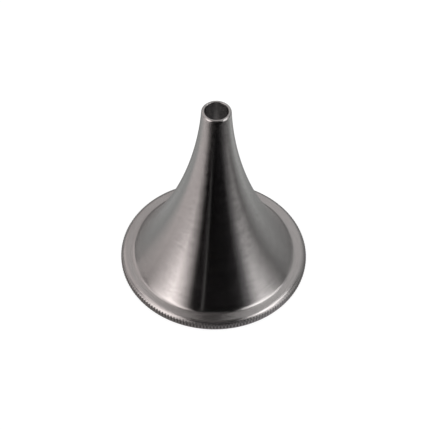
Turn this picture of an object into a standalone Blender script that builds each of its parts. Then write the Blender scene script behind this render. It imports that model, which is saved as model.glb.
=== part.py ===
"""Reusable metal ear speculum, turned from one piece.

A hollow trumpet stands on its wide end. Its wall flares from a narrow tip with a rounded lip
to a thick rim, which has a flat ledge, a rounded shoulder and straight knurling on its edge.
Metres, +Z up; the origin is on the axis, at the foot of the rim.
"""

import math

import bmesh
import bpy
from mathutils import Matrix, Vector

NAME = "speculum"
MM = 0.001

# Overall
LENGTH = 39.0 * MM
RIM_DIAMETER = 35.0 * MM
BORE_DIAMETER = 4.2 * MM

# Wall, square to the surface
TIP_WALL = 0.5 * MM
MOUTH_WALL = 0.7 * MM

# Rim
RIM_THICKNESS = 1.8 * MM
RIM_OVERHANG = 2.57 * MM
SHOULDER_RADIUS = 1.1 * MM
LOWER_EDGE_RADIUS = 0.45 * MM
MOUTH_EDGE_RADIUS = 0.3 * MM
LEDGE_FILLET_RADIUS = 0.6 * MM

# Flare: its slope from the axis at each end, and how far each slope is felt along the curve
TIP_TAPER = math.radians(3.4)
MOUTH_FLARE = math.radians(33.9)
TIP_REACH = 12.7 * MM
MOUTH_REACH = 12.4 * MM

# Straight knurling: V grooves that run out in the rounded edges, with a land between two
GROOVES = 176
GROOVE_DEPTH = 0.32 * MM
CREST_LAND = 0.12 * MM
CUTTER_CLEARANCE = 0.5 * MM

# Fineness of the mesh
SEGMENTS = 72
FLARE_STEPS = 13
LIP_STEPS = 6
SHOULDER_STEPS = 4
EDGE_STEPS = 3
MERGE_DISTANCE = 0.00001

STEEL_COLOUR = (0.42, 0.41, 0.40)
STEEL_ROUGHNESS = 0.32

RIM_RADIUS = RIM_DIAMETER / 2
BORE_RADIUS = BORE_DIAMETER / 2


def clear_scene():
    for old in list(bpy.data.objects):
        bpy.data.objects.remove(old, do_unlink=True)


def new_collection(name):
    collection = bpy.data.collections.new(name)
    bpy.context.scene.collection.children.link(collection)
    return collection


def steel():
    material = bpy.data.materials.new("turned_steel")
    material.use_nodes = True
    shader = material.node_tree.nodes["Principled BSDF"]
    shader.inputs["Base Color"].default_value = (*STEEL_COLOUR, 1)
    shader.inputs["Metallic"].default_value = 1
    shader.inputs["Roughness"].default_value = STEEL_ROUGHNESS
    return material


def slope(angle):
    """Unit direction down a wall that leaves the axis by this angle, as (radius, height)."""
    return Vector((math.sin(angle), -math.cos(angle)))


def rounded_corner(before, corner, after, radius, steps):
    """Points of the arc that rounds a corner between two straight runs, both ends included."""
    towards_before = (before - corner).normalized()
    towards_after = (after - corner).normalized()
    half_angle = towards_before.angle(towards_after) / 2
    centre = corner + (towards_before + towards_after).normalized() * radius / math.sin(half_angle)
    setback = radius / math.tan(half_angle)
    start = corner + towards_before * setback - centre
    sweep = start.angle_signed(corner + towards_after * setback - centre)
    return [centre + Matrix.Rotation(-sweep * i / steps, 2) @ start for i in range(steps + 1)]


def flare_curve(top, bottom, steps):
    """Points and outward normals of the flare, a cubic curve set by its two end slopes."""
    handle_top = top + slope(TIP_TAPER) * TIP_REACH
    handle_bottom = bottom - slope(MOUTH_FLARE) * MOUTH_REACH
    points = []
    normals = []
    for i in range(steps + 1):
        t = i / steps
        upper = top.lerp(handle_top, t)
        middle = handle_top.lerp(handle_bottom, t)
        lower = handle_bottom.lerp(bottom, t)
        start = upper.lerp(middle, t)
        end = middle.lerp(lower, t)
        along = (end - start).normalized()
        points.append(start.lerp(end, t))
        normals.append(Vector((-along.y, along.x)))
    return points, normals


def lip_arc(steps):
    """Full round over the end of the wall, from the bore side to the outer side."""
    radius = TIP_WALL / 2
    centre = Vector((BORE_RADIUS + radius, LENGTH - radius))
    first = math.pi - TIP_TAPER
    last = -TIP_TAPER
    angles = [first + (last - first) * i / steps for i in range(steps + 1)]
    return [centre + radius * Vector((math.cos(a), math.sin(a))) for a in angles]


def wall_section():
    """Closed outline of the wall and rim: down the outer side, across the foot, up the bore."""
    lip = lip_arc(LIP_STEPS)
    flare_foot = Vector((RIM_RADIUS - RIM_OVERHANG, RIM_THICKNESS))
    rim_top = Vector((RIM_RADIUS, RIM_THICKNESS))
    rim_bottom = Vector((RIM_RADIUS, 0))
    down = slope(MOUTH_FLARE)

    fillet = rounded_corner(flare_foot - down, flare_foot, rim_top, LEDGE_FILLET_RADIUS, EDGE_STEPS)
    outer, normals = flare_curve(lip[-1], fillet[0], FLARE_STEPS)
    shoulder = rounded_corner(flare_foot, rim_top, rim_bottom, SHOULDER_RADIUS, SHOULDER_STEPS)

    walls = [TIP_WALL + (MOUTH_WALL - TIP_WALL) * i / FLARE_STEPS for i in range(FLARE_STEPS + 1)]
    inner = [point - normal * wall for point, normal, wall in zip(outer, normals, walls)]
    mouth = inner[-1] + down * inner[-1].y / -down.y
    lower_edge = rounded_corner(rim_top, rim_bottom, mouth, LOWER_EDGE_RADIUS, EDGE_STEPS)
    mouth_edge = rounded_corner(rim_bottom, mouth, inner[-1], MOUTH_EDGE_RADIUS, EDGE_STEPS)

    outer_side = outer[:-1] + fillet + shoulder + lower_edge
    inner_side = mouth_edge + inner[:0:-1]
    return outer_side + inner_side + lip[:-1]


def turned_blank(collection):
    section = [(point.x, 0, point.y) for point in wall_section()]
    edges = [(i, (i + 1) % len(section)) for i in range(len(section))]
    mesh = bpy.data.meshes.new(NAME)
    mesh.from_pydata(section, edges, [])
    blank = bpy.data.objects.new(NAME, mesh)
    collection.objects.link(blank)

    turn = blank.modifiers.new("turn", "SCREW")
    turn.axis = "Z"
    turn.angle = math.tau
    turn.steps = SEGMENTS
    turn.render_steps = SEGMENTS
    turn.use_merge_vertices = True
    turn.merge_threshold = MERGE_DISTANCE
    turn.use_smooth_shade = True
    return blank


def knurling_outline():
    """Inner outline of the cutter: teeth that reach the groove roots, with lands left between."""
    pitch = math.tau * RIM_RADIUS / GROOVES
    root = RIM_RADIUS - GROOVE_DEPTH
    crest = RIM_RADIUS + GROOVE_DEPTH * CREST_LAND / (pitch - CREST_LAND)
    points = []
    for i in range(2 * GROOVES):
        radius = root if i % 2 else crest
        angle = math.pi * i / GROOVES
        points.append((radius * math.cos(angle), radius * math.sin(angle)))
    return points


def circle_outline(radius, count):
    angles = [math.tau * i / count for i in range(count)]
    return [(radius * math.cos(a), radius * math.sin(a)) for a in angles]


def knurling_cutter(collection):
    """Ring with V teeth pointing inwards, taller and wider than the rim."""
    curve = bpy.data.curves.new("knurling_cutter", "CURVE")
    curve.dimensions = "2D"
    curve.fill_mode = "BOTH"
    curve.extrude = RIM_THICKNESS / 2 + CUTTER_CLEARANCE
    for outline in (circle_outline(RIM_RADIUS + CUTTER_CLEARANCE, SEGMENTS), knurling_outline()):
        spline = curve.splines.new("POLY")
        spline.points.add(len(outline) - 1)
        for point, (x, y) in zip(spline.points, outline):
            point.co = (x, y, 0, 1)
        spline.use_cyclic_u = True
    ring = bpy.data.objects.new("knurling_outline", curve)
    ring.location.z = RIM_THICKNESS / 2
    collection.objects.link(ring)

    bpy.context.view_layer.update()
    evaluated = ring.evaluated_get(bpy.context.evaluated_depsgraph_get())
    mesh = bpy.data.meshes.new_from_object(evaluated)
    shape = bmesh.new()
    shape.from_mesh(mesh)
    bmesh.ops.remove_doubles(shape, verts=shape.verts, dist=MERGE_DISTANCE)
    shape.to_mesh(mesh)
    shape.free()

    cutter = bpy.data.objects.new("knurling_cutter", mesh)
    cutter.matrix_world = ring.matrix_world
    cutter.hide_render = True
    cutter.display_type = "WIRE"
    collection.objects.link(cutter)
    bpy.data.objects.remove(ring, do_unlink=True)
    return cutter


def build():
    clear_scene()
    parts = new_collection("ear_speculum")
    cutters = new_collection("cutters")

    speculum = turned_blank(parts)
    knurling = speculum.modifiers.new("knurling", "BOOLEAN")
    knurling.operation = "DIFFERENCE"
    knurling.solver = "EXACT"
    knurling.object = knurling_cutter(cutters)
    speculum.data.materials.append(steel())


build()
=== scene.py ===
"""Looks of the ear speculum: one turned piece of satin steel with a knurled rim."""

import math

import bmesh
import bpy
from mathutils import Matrix, Vector

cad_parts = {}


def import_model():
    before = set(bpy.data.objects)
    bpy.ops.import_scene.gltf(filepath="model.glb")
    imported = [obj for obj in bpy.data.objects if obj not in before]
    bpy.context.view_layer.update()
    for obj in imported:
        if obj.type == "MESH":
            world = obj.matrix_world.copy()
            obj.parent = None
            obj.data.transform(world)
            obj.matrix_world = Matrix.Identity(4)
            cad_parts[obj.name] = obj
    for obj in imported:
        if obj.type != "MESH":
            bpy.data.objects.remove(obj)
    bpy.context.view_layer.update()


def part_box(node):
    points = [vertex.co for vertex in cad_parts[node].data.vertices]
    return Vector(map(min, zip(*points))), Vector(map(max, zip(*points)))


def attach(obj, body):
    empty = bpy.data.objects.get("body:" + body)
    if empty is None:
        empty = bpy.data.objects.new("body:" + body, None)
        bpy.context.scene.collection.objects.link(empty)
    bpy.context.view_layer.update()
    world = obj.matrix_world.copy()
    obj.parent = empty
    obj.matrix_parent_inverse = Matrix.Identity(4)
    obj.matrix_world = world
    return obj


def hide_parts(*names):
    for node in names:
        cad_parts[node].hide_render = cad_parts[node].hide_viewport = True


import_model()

NODE = "speculum"
MM = 0.001

# The solid's own box gives the two overall sizes
solid_low, solid_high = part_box(NODE)
LENGTH = solid_high.z - solid_low.z
RIM_RADIUS = (solid_high.x - solid_low.x) / 2

# Section of the wall and rim
BORE_RADIUS = 2.085 * MM
TIP_WALL = 0.5 * MM
TIP_OUTER_EDGE = 0.3 * MM
TIP_INNER_EDGE = 0.06 * MM
MOUTH_WALL = 0.7 * MM
RIM_THICKNESS = 1.8 * MM
RIM_OVERHANG = 2.57 * MM
SHOULDER_RADIUS = 1.1 * MM
LOWER_EDGE_RADIUS = 0.45 * MM
MOUTH_EDGE_RADIUS = 0.3 * MM
LEDGE_FILLET_RADIUS = 0.95 * MM

# Flare: its slope from the axis at each end, and how far each slope is felt along the curve
TIP_TAPER = math.radians(3.4)
MOUTH_FLARE = math.radians(33.9)
TIP_REACH = 12.7 * MM
MOUTH_REACH = 12.4 * MM

# Knurling: V grooves, with the land between two and how far the land's edges are rounded
GROOVES = 176
GROOVE_DEPTH = 0.32 * MM
CREST_LAND = 0.12 * MM
CREST_EASE = 0.06 * MM
KNURL_MARGIN = 0.12 * MM

# Share of the grooves' depth at each height of the rim, and how far each of the waves round the
# rim changes it: waves to a turn and their phases
GROOVE_DEPTHS = ((0.08 * MM, 0.1), (0.4 * MM, 1.0), (0.8 * MM, 1.0), (1.5 * MM, 0.84))
GROOVE_VARIATION = 0.02
GROOVE_WAVES = ((5, 0.7), (13, 0.0), (31, 2.1))

# Which of the finishes a face has; a knurled face looks outwards at least this much
FLARE_ZONE, RIM_ZONE, KNURL_ZONE = range(3)
KNURL_FACING = 0.3
SUNK = "sunk_in_groove"

# Fineness: sides of a plain ring, and places of the points across one groove, root to crest
RING_SIDES = 352
GROOVE_PLACES = (0.0, 0.14, 0.4, 0.68, 0.84)
FLARE_STEPS = 60
TIP_STEPS = 6
SHOULDER_STEPS = 14
EDGE_STEPS = 6
BAND_STEPS = 4

# Steel: colours, and how far the colour and the roughness change over the surface
STEEL_COLOUR = (0.49, 0.488, 0.485)
# Painted shade in the knurling: the colour that it darkens to at the bottom of a groove
GROOVE_SHADE_COLOUR = (0.23, 0.225, 0.22)
COLOUR_SPREAD = 0.07
ROUGHNESS_SPREAD = 0.02
KNURL_ROUGHNESS = 0.3
KNURL_SPREAD = 0.02
# Random spread of that painted groove shade, which reaches the crests a little too
GROOVE_SHADE_MOTTLE = 0.12

# Grains: height of a line in mm, and how fast the lines change round the axis
FINE_LINES = (0.015, 6)
BRUSHED_LINES = (0.12, 8)
BROAD_LINES = (1.1, 2)
GROUND_SPOTS = (0.015, 300)
ROLLED_LINES = (0.3, 40)
GRAIN_DETAIL = 2
GRAIN_MIDDLE = 0.5
GRAIN_RANGE = (0.3, 0.7)
BRUSHED_SHARE = 0.75

# Finishes: roughness, anisotropy, and how far the fine, brushed and ground marks lean. The
# ground marks set in between two heights near the tip.
FLARE_FINISH = (0.2, 1.0, (0.75, 0.06, 1.3))
RIM_FINISH = (0.23, 0.85, (0.8, 0.12, 0.0))
QUARTER_TURN = 0.25
GROUND_FROM = 24 * MM
GROUND_TO = 38 * MM

# Camera: a long lens at the height and distance that the outline gives; it sees what lies
# between two multiples of that distance
LENS_MM = 120.0
SENSOR_MM = 36.0
CAMERA_DISTANCE = 262.96 * MM
CAMERA_ELEVATION = math.radians(49.654)
CAMERA_ROLL = math.radians(1.186)
CAMERA_TARGET = Vector((0.111, 0, 11.846)) * MM
CLIP_NEAR = 0.05
CLIP_FAR = 50

# Floor: part of its white is its own, the rest is paint that takes the shadow
FLOOR_SIZE = 6.0
FLOOR_DROP = 0.02 * MM
FLOOR_GLOW = 0.86
FLOOR_PAINT = 0.2

# Light tent, the panel over the object and the cards on the floor; all of it in metres, with
# the top of the dome left open by a small share of its radius
TENT_RADIUS = 0.4
TENT_SIDES = 96
TENT_RINGS = 24
TENT_CAP = 0.001
PANEL_HEIGHT = 0.3
PANEL_HALF_WIDTH = 0.27
PANEL_FRONT = -0.13
PANEL_BACK = 0.1
CARD_LIFT = 0.05 * MM
SHADE_INNER = 0.15 * MM
SHADE_OUTER = 15.2 * MM
FOOT_INNER = 17.2 * MM
CARD_INNER = 21.0 * MM
CARD_SPLIT = 40.0 * MM

# Faint light over the boards in front
OVER_BOARDS_LEVEL = 0.1
OVER_BOARDS_HALF_WIDTH = 0.09
OVER_BOARDS_FRONT = -0.24

# Low dark strip across the back: it spans these azimuths in degrees
BACK_BAND_LEVEL = 0.2
BACK_BAND_HEIGHT = 0.2
BACK_BAND_RADIUS = 0.38
BACK_BAND_SPAN = (112, 248)
BACK_BAND_PARTS = 24

# Gap between two black boards in front, which runs out over the floor and up the tent's wall:
# azimuth and width in degrees, distance and height of its cross lines
GAP_ON_FLOOR = 0.28
GAP_ON_WALL = 0.12
GAP_LINES = (
    (-24.0, 0.05, 30 * MM, 0.1 * MM),
    (-12.0, 2.0, 395 * MM, 0.1 * MM),
    (-12.6, 5.0, 365 * MM, 150 * MM),
)

# Levels by azimuth of the tent's wall, the two cards round the object, the one at its foot and
# the one under the bore: 0 is the camera's side
BRIGHTEST = 3.0
WALL_LEVELS = (
    (-90, 0.25), (-53, 2.3), (-29, 0.12), (-25, 0), (35, 0), (46, 0.17), (62, 1.3), (72, 1.2),
    (84, 0.54), (98, 0.14), (115, 0.36), (170, 0.66), (200, 0.47), (230, 0.8), (270, 0.25),
)
NEAR_CARD_LEVELS = (
    (-90, 0.45), (-75, 0.56), (-38, 0), (-25, 0), (35, 0.06), (46, 0.28), (62, 0.18), (72, 0.46),
    (84, 0.17), (140, 0.37), (170, 0.07), (200, 0.17), (230, 0.51), (250, 0.41), (270, 0.45),
)
FAR_CARD_LEVELS = (
    (-90, 0.8), (-53, 0.38), (-45, 0.09), (-33, 0), (35, 0), (84, 0.17), (115, 0.79), (170, 0.09),
    (200, 0.18), (230, 0.45), (250, 0.45), (270, 0.8),
)
# The card at the foot is painted shade: a grey ring that stands for the shaded floor round the
# rim, seen only in the metal
FOOT_SHADE_LEVELS = (
    (-90, 0.2), (-60, 0.23), (-25, 0.27), (8, 0.28), (27, 0.42), (44, 0.45), (60, 0.22), (90, 0.2),
    (270, 0.2),
)
# The card under the bore is painted shade of the floor inside the mouth; its brighter sectors in
# front and behind paint a lighter streak down the middle of the bore
SHADE_LEVELS = (
    (-90, 0), (-50, 0), (-30, 0.31), (30, 0.31), (50, 0), (130, 0), (150, 0.31), (210, 0.31),
    (230, 0), (270, 0),
)

# Levels of the panel from the left side to the right
PANEL_LEVELS = (
    (-0.9, 0.9), (-0.75, 1.8), (-0.6, 0.68), (-0.48, 1.1), (-0.38, 1.8), (-0.3, 0.27),
    (-0.22, 0.05), (0.05, 0.1), (0.12, 0.05), (0.26, 0.01), (0.33, 0.27), (0.42, 2), (0.52, 3),
    (0.65, 3), (0.9, 1.2),
)

# Tints of the light cloths, and from which azimuth or place on each has its tint
WARM = (1.1, 1, 0.98)
PLAIN = (1.045, 1, 0.99)
COOL = (1.05, 1, 1.03)
GREENISH = (1.0, 1, 0.985)
WALL_TINTS = ((-90, WARM), (0, COOL), (60, PLAIN), (180, WARM))
CARD_TINTS = ((-90, WARM), (0, COOL), (60, PLAIN), (95, GREENISH), (255, WARM))
PANEL_TINTS = ((-1, WARM), (0.1, PLAIN))


def slope(angle):
    """Unit direction down a wall that leaves the axis by this angle, as (radius, height)."""
    return Vector((math.sin(angle), -math.cos(angle)))


def rounded_corner(before, corner, after, radius, steps):
    """Points of the arc that rounds a corner between two straight runs, both ends included."""
    towards_before = (before - corner).normalized()
    towards_after = (after - corner).normalized()
    half_angle = towards_before.angle(towards_after) / 2
    centre = corner + (towards_before + towards_after).normalized() * radius / math.sin(half_angle)
    setback = radius / math.tan(half_angle)
    start = corner + towards_before * setback - centre
    sweep = start.angle_signed(corner + towards_after * setback - centre)
    return [centre + Matrix.Rotation(-sweep * i / steps, 2) @ start for i in range(steps + 1)]


def flare_curve(top, bottom, steps):
    """Points and outward normals of the flare, a cubic curve set by its two end slopes."""
    handle_top = top + slope(TIP_TAPER) * TIP_REACH
    handle_bottom = bottom - slope(MOUTH_FLARE) * MOUTH_REACH
    points = []
    normals = []
    for i in range(steps + 1):
        t = i / steps
        upper = top.lerp(handle_top, t)
        middle = handle_top.lerp(handle_bottom, t)
        lower = handle_bottom.lerp(bottom, t)
        start = upper.lerp(middle, t)
        end = middle.lerp(lower, t)
        along = (end - start).normalized()
        points.append(start.lerp(end, t))
        normals.append(Vector((-along.y, along.x)))
    return points, normals


def tip_end(steps):
    """Flat end of the wall with its two edges rounded, from the bore side to the outer side."""
    down = slope(TIP_TAPER)
    inner = Vector((BORE_RADIUS, LENGTH))
    outer = inner + Vector((TIP_WALL / math.cos(TIP_TAPER), 0))
    inner_edge = rounded_corner(inner + down, inner, outer, TIP_INNER_EDGE, steps)
    outer_edge = rounded_corner(inner, outer, outer + down, TIP_OUTER_EDGE, steps)
    return inner_edge + outer_edge


def section():
    """Outline of the wall in three runs: outer side to the ledge, rim edge, foot to the tip.

    The bore is smooth, so it takes every second of the flare's points.
    """
    tip = tip_end(TIP_STEPS)
    flare_foot = Vector((RIM_RADIUS - RIM_OVERHANG, RIM_THICKNESS))
    rim_top = Vector((RIM_RADIUS, RIM_THICKNESS))
    rim_bottom = Vector((RIM_RADIUS, 0))
    down = slope(MOUTH_FLARE)

    above_foot = flare_foot - down
    fillet = rounded_corner(above_foot, flare_foot, rim_top, LEDGE_FILLET_RADIUS, EDGE_STEPS)
    outer, normals = flare_curve(tip[-1], fillet[0], FLARE_STEPS)
    shoulder = rounded_corner(flare_foot, rim_top, rim_bottom, SHOULDER_RADIUS, SHOULDER_STEPS)

    growth = (MOUTH_WALL - TIP_WALL) / FLARE_STEPS
    walls = [TIP_WALL + growth * i for i in range(FLARE_STEPS + 1)]
    inner = [point - normal * wall for point, normal, wall in zip(outer, normals, walls)]
    mouth = inner[-1] + down * inner[-1].y / -down.y
    lower_edge = rounded_corner(rim_top, rim_bottom, mouth, LOWER_EDGE_RADIUS, EDGE_STEPS)
    mouth_edge = rounded_corner(rim_bottom, mouth, inner[-1], MOUTH_EDGE_RADIUS, EDGE_STEPS)

    margin = Vector((KNURL_MARGIN, 0))
    band = [shoulder[-1].lerp(lower_edge[0], i / BAND_STEPS) for i in range(1, BAND_STEPS)]
    ledge_middle = fillet[-1].lerp(shoulder[0], 0.5)
    ledge = [ledge_middle, shoulder[0] - 2 * margin]
    outer_side = outer[:-1] + fillet + ledge
    rim_edge = [shoulder[0] - margin] + shoulder + band + lower_edge + [lower_edge[-1] - margin]
    bore = inner[::-2]
    inner_side = [lower_edge[-1] - 2 * margin] + mouth_edge + bore + tip[:-1]
    return outer_side, rim_edge, inner_side


def knurl_angles():
    """Angles round the rim, a few for each groove, with the share of the way up its flank."""
    rising = [*GROOVE_PLACES, 1.0]
    falling = rising[-2:0:-1]
    offsets = [share / 2 for share in rising] + [1 - share / 2 for share in falling]
    step = math.tau / GROOVES
    angles = []
    for i in range(GROOVES):
        for offset, share in zip(offsets, rising + falling):
            angles.append((step * (i + 0.5 + offset), share))
    return angles


def groove_depth(angle, height):
    """Depth of the grooves here, which run out to the foot and change a little round the rim."""
    wave = sum(math.sin(count * angle + phase) for count, phase in GROOVE_WAVES)
    share = GROOVE_DEPTHS[0][1]
    for (low, low_share), (high, high_share) in zip(GROOVE_DEPTHS, GROOVE_DEPTHS[1:]):
        part = min(max((height - low) / (high - low), 0), 1)
        share += part * (high_share - low_share)
    return GROOVE_DEPTH * (1 + GROOVE_VARIATION * wave) * share


def groove_radius(angle, share, height):
    """Radius of the groove's flank: the root at share 0, above the rim at share 1."""
    pitch = math.tau * RIM_RADIUS / GROOVES
    depth = groove_depth(angle, height)
    above = depth * CREST_LAND / (pitch - CREST_LAND)
    return RIM_RADIUS - depth + (depth + above) * share


def eased_min(a, b, ease):
    """The smaller of two lengths, with the change from one to the other rounded off."""
    return (a + b - math.sqrt((a - b) ** 2 + ease**2)) / 2


def ring_vertex(shape, radius, angle, height):
    """Point of a ring round the axis."""
    return shape.verts.new((radius * math.cos(angle), radius * math.sin(angle), height))


def plain_ring(shape, point):
    """Smooth ring round the axis through a point of the section."""
    angles = [math.tau * i / RING_SIDES for i in range(RING_SIDES)]
    return [ring_vertex(shape, point.x, angle, point.y) for angle in angles]


def knurled_ring(shape, point, angles):
    """Ring that dips into the grooves; each point keeps how deep it lies in its groove, which sets
    the painted shade there.
    """
    ring = []
    sunk = shape.verts.layers.float[SUNK]
    for angle, share in angles:
        radius = eased_min(point.x, groove_radius(angle, share, point.y), CREST_EASE)
        vertex = ring_vertex(shape, radius, angle, point.y)
        vertex[sunk] = (point.x - radius) / GROOVE_DEPTH
        ring.append(vertex)
    return ring


def join_rings(shape, upper, lower):
    """Faces between two rings; where one is finer, each face takes several of its sides."""
    count = min(len(upper), len(lower))
    upper_run = len(upper) // count
    lower_run = len(lower) // count
    for i in range(count):
        top = [upper[(i * upper_run + k) % len(upper)] for k in range(upper_run + 1)]
        bottom = [lower[(i * lower_run + k) % len(lower)] for k in range(lower_run + 1)]
        shape.faces.new(bottom + top[::-1])


def zone_of(face):
    """Zone of a face: the flare and bore, the rim and tip, or the knurling."""
    middle = face.calc_center_median()
    radius = math.hypot(middle.x, middle.y)
    if middle.z > LENGTH - TIP_OUTER_EDGE:
        return RIM_ZONE
    if radius < RIM_RADIUS - RIM_OVERHANG:
        return FLARE_ZONE
    outward = Vector((middle.x, middle.y, 0)) / radius
    on_knurl = radius > RIM_RADIUS - GROOVE_DEPTH - 2 * CREST_EASE
    return KNURL_ZONE if on_knurl and face.normal.dot(outward) > KNURL_FACING else RIM_ZONE


def turned_speculum(finishes):
    """The whole speculum as one turned mesh, with its finishes in the order of the zones."""
    outer_side, rim_edge, inner_side = section()
    shape = bmesh.new()
    shape.verts.layers.float.new(SUNK)
    angles = knurl_angles()
    rings = [plain_ring(shape, point) for point in outer_side]
    rings += [knurled_ring(shape, point, angles) for point in rim_edge]
    rings += [plain_ring(shape, point) for point in inner_side]
    for upper, lower in zip(rings, rings[1:] + rings[:1]):
        join_rings(shape, upper, lower)
    shape.normal_update()
    for face in shape.faces:
        face.material_index = zone_of(face)
    mesh = bpy.data.meshes.new("turned_speculum")
    shape.to_mesh(mesh)
    shape.free()
    mesh.shade_smooth()
    for finish in finishes:
        mesh.materials.append(finish)
    piece = bpy.data.objects.new("turned_speculum", mesh)
    bpy.context.scene.collection.objects.link(piece)
    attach(piece, "root")
    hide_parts(NODE)


def place_camera():
    """Camera that looks down on the speculum from the front, with a little roll."""
    forward = Vector((0, math.cos(CAMERA_ELEVATION), -math.sin(CAMERA_ELEVATION)))
    right = Vector((1, 0, 0))
    up = right.cross(forward)
    turned_right = math.cos(CAMERA_ROLL) * right + math.sin(CAMERA_ROLL) * up
    turned_up = math.cos(CAMERA_ROLL) * up - math.sin(CAMERA_ROLL) * right
    data = bpy.data.cameras.new("camera")
    data.lens = LENS_MM
    data.sensor_width = SENSOR_MM
    data.clip_start = CAMERA_DISTANCE * CLIP_NEAR
    data.clip_end = CAMERA_DISTANCE * CLIP_FAR
    camera = bpy.data.objects.new("camera", data)
    axes = Matrix((turned_right, turned_up, -forward)).transposed().to_4x4()
    camera.matrix_world = Matrix.Translation(CAMERA_TARGET - forward * CAMERA_DISTANCE) @ axes
    bpy.context.scene.collection.objects.link(camera)
    bpy.context.scene.camera = camera


def new_group(name, inputs, outputs):
    """Node group with number inputs, and outputs given as pairs of a name and a socket type."""
    group = bpy.data.node_groups.new(name, "ShaderNodeTree")
    for socket in inputs:
        group.interface.new_socket(socket, in_out="INPUT", socket_type="NodeSocketFloat")
    for socket, kind in outputs:
        group.interface.new_socket(socket, in_out="OUTPUT", socket_type=kind)
    ins = group.nodes.new("NodeGroupInput")
    outs = group.nodes.new("NodeGroupOutput")
    return group, ins.outputs, outs.inputs


def use_group(tree, group, values):
    """Places a group; each of its values is a socket or a number."""
    node = tree.nodes.new("ShaderNodeGroup")
    node.node_tree = group
    for name, value in values.items():
        feed(tree, value, node.inputs[name])
    return node.outputs


def feed(tree, value, socket):
    """Gives a socket its value, which is another socket or a number."""
    if isinstance(value, bpy.types.NodeSocket):
        tree.links.new(value, socket)
    else:
        socket.default_value = value


def maths(tree, operation, first, second):
    """Maths node; each side is a socket or a number."""
    node = tree.nodes.new("ShaderNodeMath")
    node.operation = operation
    feed(tree, first, node.inputs[0])
    feed(tree, second, node.inputs[1])
    return node.outputs[0]


def vectors(tree, operation, first, second=None):
    """Vector maths node between two sockets."""
    node = tree.nodes.new("ShaderNodeVectorMath")
    node.operation = operation
    tree.links.new(first, node.inputs[0])
    if second is not None:
        tree.links.new(second, node.inputs["Scale" if operation == "SCALE" else 1])
    return node.outputs["Value" if operation == "LENGTH" else "Vector"]


def spread(tree, value, low, high):
    """Maps the useful middle of a grain's values to a range."""
    node = tree.nodes.new("ShaderNodeMapRange")
    tree.links.new(value, node.inputs["Value"])
    node.inputs["From Min"].default_value, node.inputs["From Max"].default_value = GRAIN_RANGE
    node.inputs["To Min"].default_value = low
    node.inputs["To Max"].default_value = high
    return node.outputs["Result"]


def blended(tree, share, first, second):
    """Mix of two colours."""
    node = tree.nodes.new("ShaderNodeMix")
    node.data_type = "RGBA"
    tree.links.new(share, node.inputs["Factor"])
    node.inputs["A"].default_value = (*first, 1)
    node.inputs["B"].default_value = (*second, 1)
    return node.outputs["Result"]


def turned_grain_group():
    """Fine lines that run round the axis, as the tool and the polishing band leave them."""
    height = (("Height", "NodeSocketFloat"),)
    group, ins, outs = new_group("turned_grain", ("Lines per Metre", "Streaks Round"), height)
    place = group.nodes.new("ShaderNodeTexCoord")
    parts = group.nodes.new("ShaderNodeSeparateXYZ")
    group.links.new(place.outputs["Object"], parts.inputs[0])
    flat = group.nodes.new("ShaderNodeCombineXYZ")
    group.links.new(parts.outputs["X"], flat.inputs["X"])
    group.links.new(parts.outputs["Y"], flat.inputs["Y"])

    heading = vectors(group, "NORMALIZE", flat.outputs[0])
    around = vectors(group, "SCALE", heading, ins["Streaks Round"])
    radius = vectors(group, "LENGTH", flat.outputs[0])
    down_the_wall = maths(group, "SUBTRACT", radius, parts.outputs["Z"])
    across = group.nodes.new("ShaderNodeCombineXYZ")
    lines_down = maths(group, "MULTIPLY", down_the_wall, ins["Lines per Metre"])
    group.links.new(lines_down, across.inputs["Z"])

    noise = group.nodes.new("ShaderNodeTexNoise")
    noise.inputs["Scale"].default_value = 1
    noise.inputs["Detail"].default_value = GRAIN_DETAIL
    group.links.new(vectors(group, "ADD", around, across.outputs[0]), noise.inputs["Vector"])
    group.links.new(noise.outputs["Fac"], outs["Height"])
    return group


def line_tilt_group():
    """Normal leaned down the wall by one slope and round the axis by another."""
    normal = (("Normal", "NodeSocketVector"),)
    group, ins, outs = new_group("line_tilt", ("Slope", "Slope Round"), normal)
    place = group.nodes.new("ShaderNodeTexCoord")
    upright = group.nodes.new("ShaderNodeCombineXYZ")
    upright.inputs["Z"].default_value = 1
    across = vectors(group, "CROSS_PRODUCT", upright.outputs[0], place.outputs["Object"])
    around = vectors(group, "NORMALIZE", across)
    down = vectors(group, "CROSS_PRODUCT", place.outputs["Normal"], around)
    lean_down = vectors(group, "SCALE", down, ins["Slope"])
    lean_round = vectors(group, "SCALE", around, ins["Slope Round"])
    lean = vectors(group, "ADD", lean_down, lean_round)
    leaned = vectors(group, "NORMALIZE", vectors(group, "ADD", place.outputs["Normal"], lean))
    to_world = group.nodes.new("ShaderNodeVectorTransform")
    to_world.vector_type = "NORMAL"
    to_world.convert_from = "OBJECT"
    to_world.convert_to = "WORLD"
    group.links.new(leaned, to_world.inputs[0])
    group.links.new(to_world.outputs[0], outs["Normal"])
    return group


def grain(tree, group, lines):
    """Height of the grain with these lines."""
    line_mm, streaks = lines
    values = {"Lines per Metre": 1 / (line_mm * MM), "Streaks Round": streaks}
    return use_group(tree, group, values)["Height"]


def lean_by(tree, height, slope_at_most):
    """Slope of a grain's marks, which lean both ways."""
    return maths(tree, "MULTIPLY", maths(tree, "SUBTRACT", height, GRAIN_MIDDLE), slope_at_most)


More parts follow.
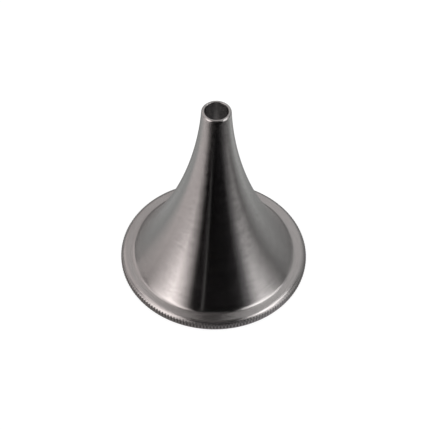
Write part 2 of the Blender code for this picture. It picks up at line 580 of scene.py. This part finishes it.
def satin_group(grain_group, tilt_group):
    """Colour, roughness and normal of steel polished round the axis, and ground near the tip."""
    inputs = ("Roughness", "Fine Slope", "Brushed Slope", "Ground Slope")
    outputs = (
        ("Colour", "NodeSocketColor"),
        ("Roughness", "NodeSocketFloat"),
        ("Normal", "NodeSocketVector"),
    )
    group, ins, outs = new_group("satin_finish", inputs, outputs)
    fine = grain(group, grain_group, FINE_LINES)
    brushed = grain(group, grain_group, BRUSHED_LINES)
    broad = grain(group, grain_group, BROAD_LINES)
    ground = grain(group, grain_group, GROUND_SPOTS)

    darker = [value * (1 - COLOUR_SPREAD) for value in STEEL_COLOUR]
    lighter = [value * (1 + COLOUR_SPREAD) for value in STEEL_COLOUR]
    brushed_marks = maths(group, "MULTIPLY", brushed, BRUSHED_SHARE)
    broad_marks = maths(group, "MULTIPLY", broad, 1 - BRUSHED_SHARE)
    marks = maths(group, "ADD", brushed_marks, broad_marks)
    group.links.new(blended(group, spread(group, marks, 0, 1), darker, lighter), outs["Colour"])

    wear = spread(group, broad, -ROUGHNESS_SPREAD, ROUGHNESS_SPREAD)
    group.links.new(maths(group, "ADD", ins["Roughness"], wear), outs["Roughness"])

    fine_lean = lean_by(group, fine, ins["Fine Slope"])
    down = maths(group, "ADD", fine_lean, lean_by(group, brushed, ins["Brushed Slope"]))
    ground_here = maths(group, "MULTIPLY", ins["Ground Slope"], towards_tip(group))
    leans = {"Slope": down, "Slope Round": lean_by(group, ground, ground_here)}
    group.links.new(use_group(group, tilt_group, leans)["Normal"], outs["Normal"])
    return group


def towards_tip(tree):
    """0 low on the flare, 1 at the tip, which is ground and not polished."""
    place = tree.nodes.new("ShaderNodeTexCoord")
    parts = tree.nodes.new("ShaderNodeSeparateXYZ")
    tree.links.new(place.outputs["Object"], parts.inputs[0])
    rise = tree.nodes.new("ShaderNodeMapRange")
    rise.interpolation_type = "SMOOTHSTEP"
    tree.links.new(parts.outputs["Z"], rise.inputs["Value"])
    rise.inputs["From Min"].default_value = GROUND_FROM
    rise.inputs["From Max"].default_value = GROUND_TO
    return rise.outputs["Result"]


def steel(name):
    """Bare metal, with its node tree and shader."""
    material = bpy.data.materials.new(name)
    material.use_nodes = True
    shader = material.node_tree.nodes["Principled BSDF"]
    shader.inputs["Metallic"].default_value = 1
    return material, material.node_tree, shader


def satin_steel(name, group, finish):
    """Satin steel, which mirrors sharply round the axis and softly along it."""
    roughness, anisotropy, slopes = finish
    material, tree, shader = steel(name)
    shader.inputs["Anisotropic"].default_value = anisotropy
    shader.inputs["Anisotropic Rotation"].default_value = QUARTER_TURN
    tangent = tree.nodes.new("ShaderNodeTangent")
    tangent.direction_type = "RADIAL"
    tangent.axis = "Z"
    tree.links.new(tangent.outputs["Tangent"], shader.inputs["Tangent"])

    fine, brushed, ground = slopes
    values = {
        "Roughness": roughness,
        "Fine Slope": fine,
        "Brushed Slope": brushed,
        "Ground Slope": ground,
    }
    surface = use_group(tree, group, values)
    tree.links.new(surface["Colour"], shader.inputs["Base Color"])
    tree.links.new(surface["Roughness"], shader.inputs["Roughness"])
    tree.links.new(surface["Normal"], shader.inputs["Normal"])
    return material


def knurled_steel(grain_group):
    """The same steel where the knurling wheel has pressed it, with painted shade darker down in
    the grooves.
    """
    material, tree, shader = steel("knurled_steel")
    rolled = grain(tree, grain_group, ROLLED_LINES)
    rough = spread(tree, rolled, KNURL_ROUGHNESS - KNURL_SPREAD, KNURL_ROUGHNESS + KNURL_SPREAD)
    tree.links.new(rough, shader.inputs["Roughness"])
    # Painted shade: the colour goes from the steel's to the dark groove colour with the depth in
    # the groove, spread at random by the rolled grain
    depth = tree.nodes.new("ShaderNodeAttribute")
    depth.attribute_name = SUNK
    shade_mottle = spread(tree, rolled, -GROOVE_SHADE_MOTTLE, GROOVE_SHADE_MOTTLE)
    share = maths(tree, "ADD", depth.outputs["Fac"], shade_mottle)
    tree.links.new(blended(tree, share, STEEL_COLOUR, GROOVE_SHADE_COLOUR), shader.inputs["Base Color"])
    return material


def stage_piece(name, points, faces, material):
    """Piece of the studio, which is not part of the speculum."""
    mesh = bpy.data.meshes.new(name)
    mesh.from_pydata(points, [], faces)
    mesh.materials.append(material)
    thing = bpy.data.objects.new(name, mesh)
    bpy.context.scene.collection.objects.link(thing)
    return thing


def seen_rays(tree):
    """1 for rays from the camera and for rays that are mirrored or let through, else 0."""
    path = tree.nodes.new("ShaderNodeLightPath")
    seen = maths(tree, "MAXIMUM", path.outputs["Is Camera Ray"], path.outputs["Is Glossy Ray"])
    return maths(tree, "MAXIMUM", seen, path.outputs["Is Transmission Ray"])


def floor_paint():
    """White that keeps a soft shadow at the foot, and is clear from below."""
    material = bpy.data.materials.new("white_floor")
    material.use_nodes = True
    tree = material.node_tree
    tree.nodes.clear()
    paint = tree.nodes.new("ShaderNodeBsdfDiffuse")
    paint.inputs["Color"].default_value = (FLOOR_PAINT, FLOOR_PAINT, FLOOR_PAINT, 1)
    glow = tree.nodes.new("ShaderNodeEmission")
    feed(tree, maths(tree, "MULTIPLY", seen_rays(tree), FLOOR_GLOW), glow.inputs["Strength"])
    both = tree.nodes.new("ShaderNodeAddShader")
    tree.links.new(paint.outputs[0], both.inputs[0])
    tree.links.new(glow.outputs[0], both.inputs[1])
    clear = tree.nodes.new("ShaderNodeBsdfTransparent")
    side = tree.nodes.new("ShaderNodeNewGeometry")
    either = tree.nodes.new("ShaderNodeMixShader")
    tree.links.new(side.outputs["Backfacing"], either.inputs["Fac"])
    tree.links.new(both.outputs[0], either.inputs[1])
    tree.links.new(clear.outputs[0], either.inputs[2])
    out = tree.nodes.new("ShaderNodeOutputMaterial")
    tree.links.new(either.outputs[0], out.inputs["Surface"])
    return material


def floor():
    """Plain white floor just under the rim."""
    half = FLOOR_SIZE / 2
    corners = [(-half, -half), (half, -half), (half, half), (-half, half)]
    points = [(x, y, -FLOOR_DROP) for x, y in corners]
    stage_piece("floor", points, [(0, 1, 2, 3)], floor_paint())


def world():
    """Even white light from all round."""
    white = bpy.data.worlds.new("white_world")
    white.use_nodes = True
    white.node_tree.nodes["Background"].inputs["Color"].default_value = (1, 1, 1, 1)
    white.node_tree.nodes["Background"].inputs["Strength"].default_value = 1
    white.cycles.sampling_method = "NONE"
    bpy.context.scene.world = white


def glowing(name):
    """Material that gives off light, with its glow."""
    material = bpy.data.materials.new(name)
    material.use_nodes = True
    tree = material.node_tree
    tree.nodes.clear()
    glow = tree.nodes.new("ShaderNodeEmission")
    out = tree.nodes.new("ShaderNodeOutputMaterial")
    tree.links.new(glow.outputs[0], out.inputs["Surface"])
    return material, glow


def even_light(name, level):
    """Light cloth of one level."""
    material, glow = glowing(name)
    glow.inputs["Color"].default_value = (*PLAIN, 1)
    glow.inputs["Strength"].default_value = level
    return material


def tint_at(where, tints):
    """Tint of the last stretch that starts at or before this place."""
    return [tint for start, tint in tints if start <= where][-1]


def set_stops(stops, levels, tints):
    """Gives a colour ramp its stops: all their places first, then the tinted levels."""
    first = levels[0][0]
    span = levels[-1][0] - first
    places = [(where - first) / span for where, level in levels]
    for place in places[1:-1]:
        stops.new(place)
    for stop, place in zip(stops, places):
        stop.position = place
    for stop, (where, level) in zip(stops, levels):
        stop.color = (*(level / BRIGHTEST * part for part in tint_at(where, tints)), 1)


def reflector_light(name, levels, tints, across=False):
    """Light cloth whose level changes round the axis, or from the left side to the right."""
    material, glow = glowing(name)
    tree = material.node_tree
    place = tree.nodes.new("ShaderNodeTexCoord")
    turn = tree.nodes.new("ShaderNodeTexGradient")
    turn.gradient_type = "LINEAR" if across else "RADIAL"
    tree.links.new(place.outputs["Generated" if across else "Object"], turn.inputs["Vector"])
    ramp = tree.nodes.new("ShaderNodeValToRGB")
    tree.links.new(turn.outputs["Fac"], ramp.inputs["Fac"])
    tree.links.new(ramp.outputs["Color"], glow.inputs["Color"])
    glow.inputs["Strength"].default_value = BRIGHTEST
    set_stops(ramp.color_ramp.elements, levels, tints)
    return material


def only_mirrored(thing):
    """Hides a studio piece from everything but mirrored rays, so the metal alone shows it."""
    thing.visible_camera = False
    thing.visible_diffuse = False
    thing.visible_transmission = False
    thing.visible_shadow = False


def ring_surface(name, rings, material):
    """Surface through rings of (radius, height), for the tent and the cards."""
    sides = TENT_SIDES
    points = []
    for radius, height in rings:
        for i in range(sides):
            angle = math.tau * i / sides
            points.append((radius * math.cos(angle), radius * math.sin(angle), height))
    faces = []
    for k in range(len(rings) - 1):
        for i in range(sides):
            j = (i + 1) % sides
            faces.append((k * sides + i, k * sides + j, (k + 1) * sides + j, (k + 1) * sides + i))
    only_mirrored(stage_piece(name, points, faces, material))


def floor_card(name, inner, outer, material):
    """Flat ring of card just over the floor."""
    ring_surface(name, [(inner, CARD_LIFT), (outer, CARD_LIFT)], material)


def light_tent():
    """Dome of cloth round the object."""
    dome = []
    for i in range(TENT_RINGS):
        rise = math.pi / 2 * i / TENT_RINGS
        dome.append((TENT_RADIUS * math.cos(rise), TENT_RADIUS * math.sin(rise)))
    dome.append((TENT_RADIUS * TENT_CAP, TENT_RADIUS))
    ring_surface("light_tent", dome, reflector_light("tent_cloth", WALL_LEVELS, WALL_TINTS))


def level_panel(name, half_width, front, back, material):
    """Flat panel over the object."""
    points = [
        (-half_width, front, PANEL_HEIGHT),
        (half_width, front, PANEL_HEIGHT),
        (half_width, back, PANEL_HEIGHT),
        (-half_width, back, PANEL_HEIGHT),
    ]
    only_mirrored(stage_piece(name, points, [(0, 1, 2, 3)], material))


def top_panels():
    """Over the object a bright strip on each side with a dark gap between, and faint in front."""
    face = reflector_light("panel_face", PANEL_LEVELS, PANEL_TINTS, across=True)
    level_panel("top_panel", PANEL_HALF_WIDTH, PANEL_FRONT, PANEL_BACK, face)
    faint = even_light("over_boards_face", OVER_BOARDS_LEVEL)
    level_panel("over_boards", OVER_BOARDS_HALF_WIDTH, OVER_BOARDS_FRONT, PANEL_FRONT, faint)


def on_floor(azimuth, distance, height):
    """Point at this azimuth from the camera's side, in degrees, and this far from the axis."""
    turn = math.radians(azimuth)
    return (distance * math.sin(turn), -distance * math.cos(turn), height)


def back_band():
    """Low dark strip across the back, where the table ends."""
    start, end = BACK_BAND_SPAN
    part = (end - start) / BACK_BAND_PARTS
    places = [start + part * i for i in range(BACK_BAND_PARTS + 1)]
    points = []
    for height in (0, BACK_BAND_HEIGHT):
        points += [on_floor(place, BACK_BAND_RADIUS, height) for place in places]
    over = len(places)
    faces = [(i, i + 1, over + i + 1, over + i) for i in range(over - 1)]
    face = even_light("band_face", BACK_BAND_LEVEL)
    only_mirrored(stage_piece("back_band", points, faces, face))


def gap_strip(name, cross_lines, level):
    """Strip of light between two cross lines."""
    points = []
    for azimuth, width, distance, height in cross_lines:
        points.append(on_floor(azimuth - width / 2, distance, height))
        points.append(on_floor(azimuth + width / 2, distance, height))
    only_mirrored(stage_piece(name, points, [(0, 1, 3, 2)], even_light(name, level)))


def board_gap():
    """Light between the boards: a point near the object, wider and fainter up the wall."""
    gap_strip("gap_on_floor", GAP_LINES[:2], GAP_ON_FLOOR)
    gap_strip("gap_on_wall", GAP_LINES[1:], GAP_ON_WALL)


def studio():
    """Tent round the object, boards and cards on the floor, which only the metal mirrors."""
    light_tent()
    top_panels()
    board_gap()
    back_band()
    near_face = reflector_light("near_card_face", NEAR_CARD_LEVELS, CARD_TINTS)
    floor_card("near_card", CARD_INNER, CARD_SPLIT, near_face)
    far_face = reflector_light("far_card_face", FAR_CARD_LEVELS, CARD_TINTS)
    floor_card("far_card", CARD_SPLIT, TENT_RADIUS, far_face)
    # Painted shade of the floor round the foot, which only the metal mirrors
    foot_shade_face = reflector_light("foot_shade_face", FOOT_SHADE_LEVELS, CARD_TINTS)
    floor_card("foot_shade_card", FOOT_INNER, CARD_INNER, foot_shade_face)
    # Painted shade of the floor inside the mouth, with painted light down the middle of the bore,
    # which only the metal mirrors
    shade_face = reflector_light("shade_face", SHADE_LEVELS, CARD_TINTS)
    floor_card("shade_card", SHADE_INNER, SHADE_OUTER, shade_face)


bpy.context.scene.view_settings.view_transform = "Standard"
place_camera()
world()
floor()
studio()
turned_grain = turned_grain_group()
satin = satin_group(turned_grain, line_tilt_group())
turned_speculum([
    satin_steel("flare_steel", satin, FLARE_FINISH),
    satin_steel("rim_steel", satin, RIM_FINISH),
    knurled_steel(turned_grain),
])
